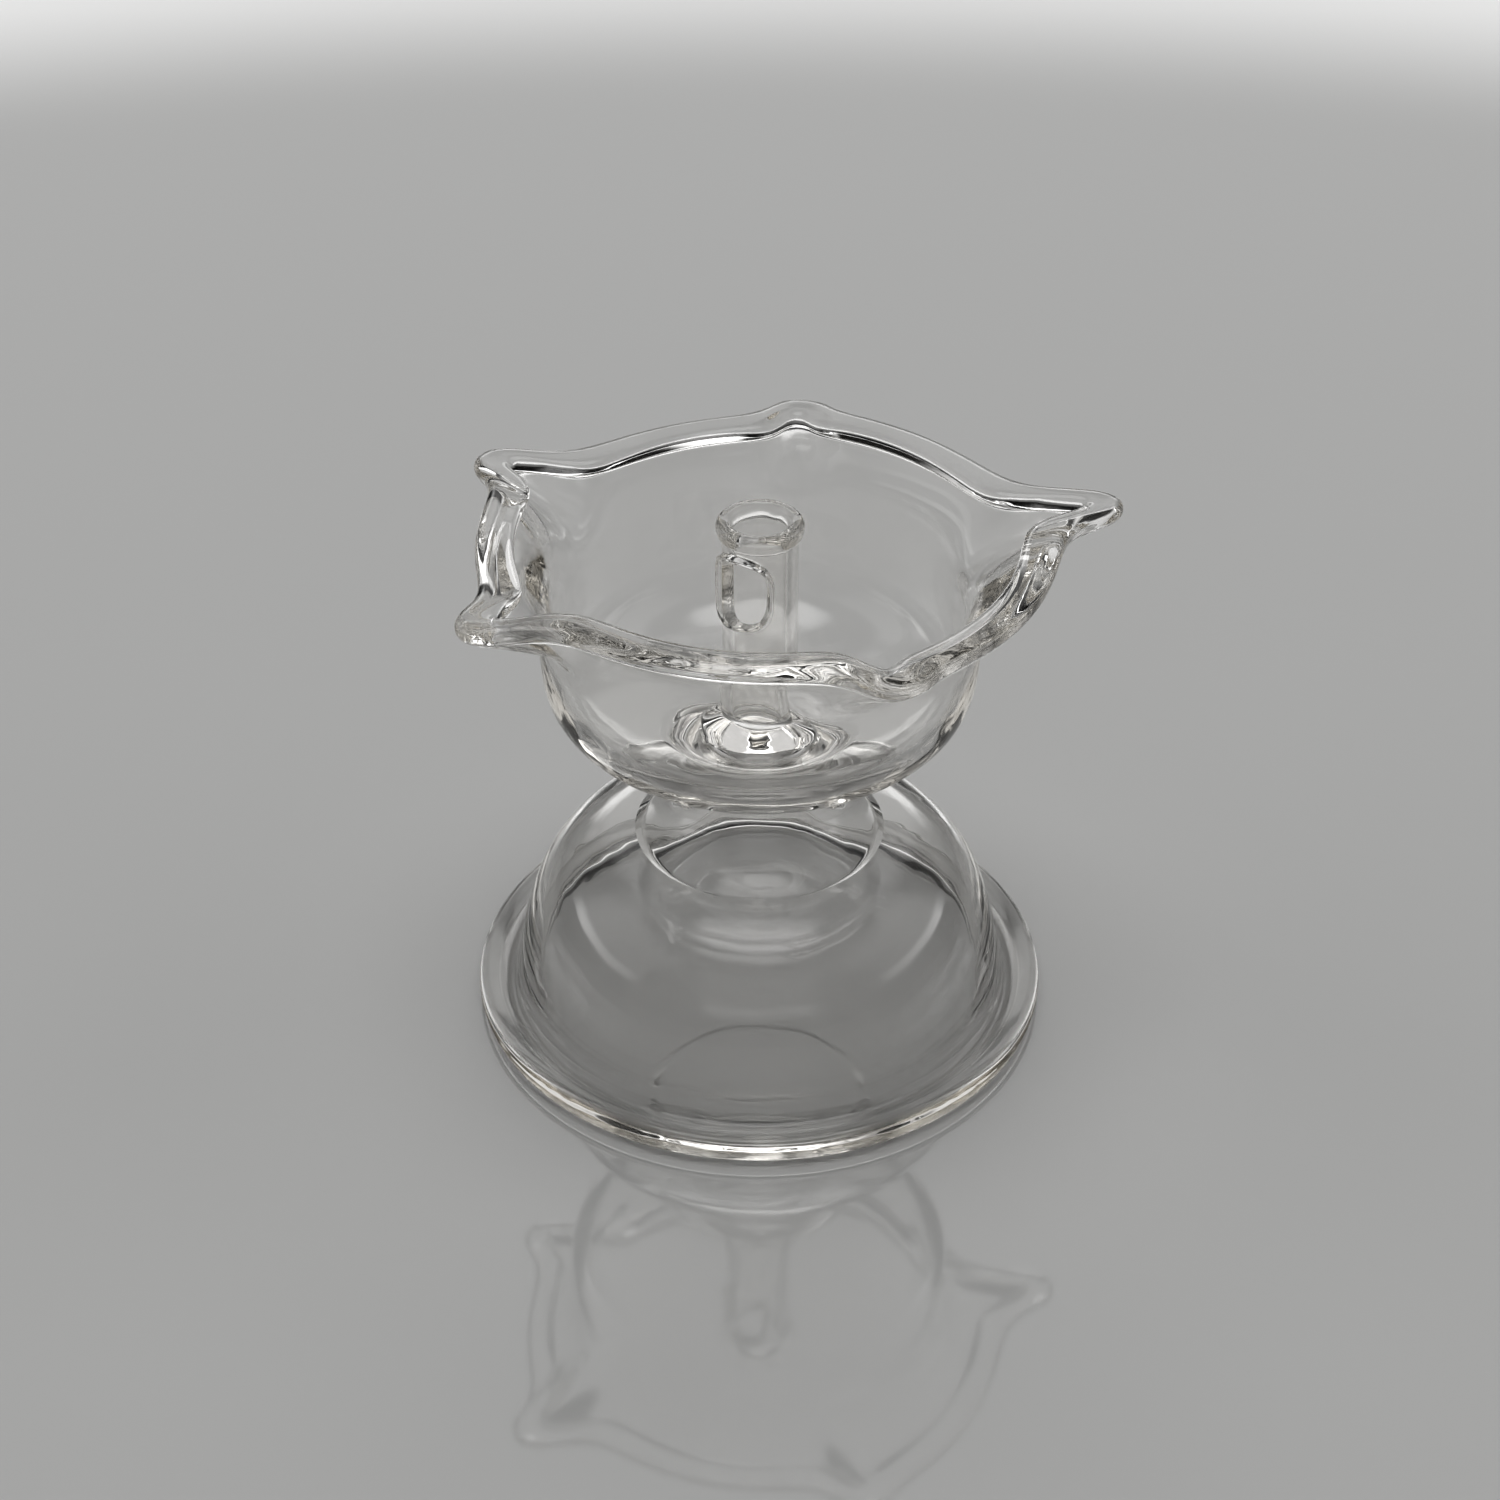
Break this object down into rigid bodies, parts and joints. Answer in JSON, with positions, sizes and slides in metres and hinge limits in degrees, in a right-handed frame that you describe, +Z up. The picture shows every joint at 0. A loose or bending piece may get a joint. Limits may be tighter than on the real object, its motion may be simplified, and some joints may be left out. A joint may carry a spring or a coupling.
{
  "type": "glass pedestal dish",
  "caption": "Clear glass dish with a pinched rim on a hollow domed foot, with an upright bored glass post in the bowl.",
  "frame": {"origin": "on the dish's axis at table level, under the middle of the foot", "axes": "+Z up along the foot, bowl and post; the side seen from the front faces -Y; plan angles run from +X towards +Y"},
  "size_m": [0.0877, 0.08, 0.0756],
  "materials": {
    "foot_rim": "clear fire-polished",
    "foot_dome": "clear fire-polished",
    "neck_weld": "clear fire-polished",
    "bowl": "clear fire-polished",
    "bowl_lip": "clear, softly drawn and pinched",
    "post_weld": "clear fire-polished",
    "post_tube": "clear drawn tube",
    "window_lip": "clear fire-polished",
    "post_lip": "clear fire-polished"
  },
  "bodies": {
    "root": {"foot_rim": "foot_rim", "foot_dome": "foot_dome", "neck_weld": "neck_weld", "bowl": "bowl", "bowl_lip": "bowl_lip", "post_weld": "post_weld", "post_tube": "post_tube", "window_lip": "window_lip", "post_lip": "post_lip"}
  },
  "joints": []
}
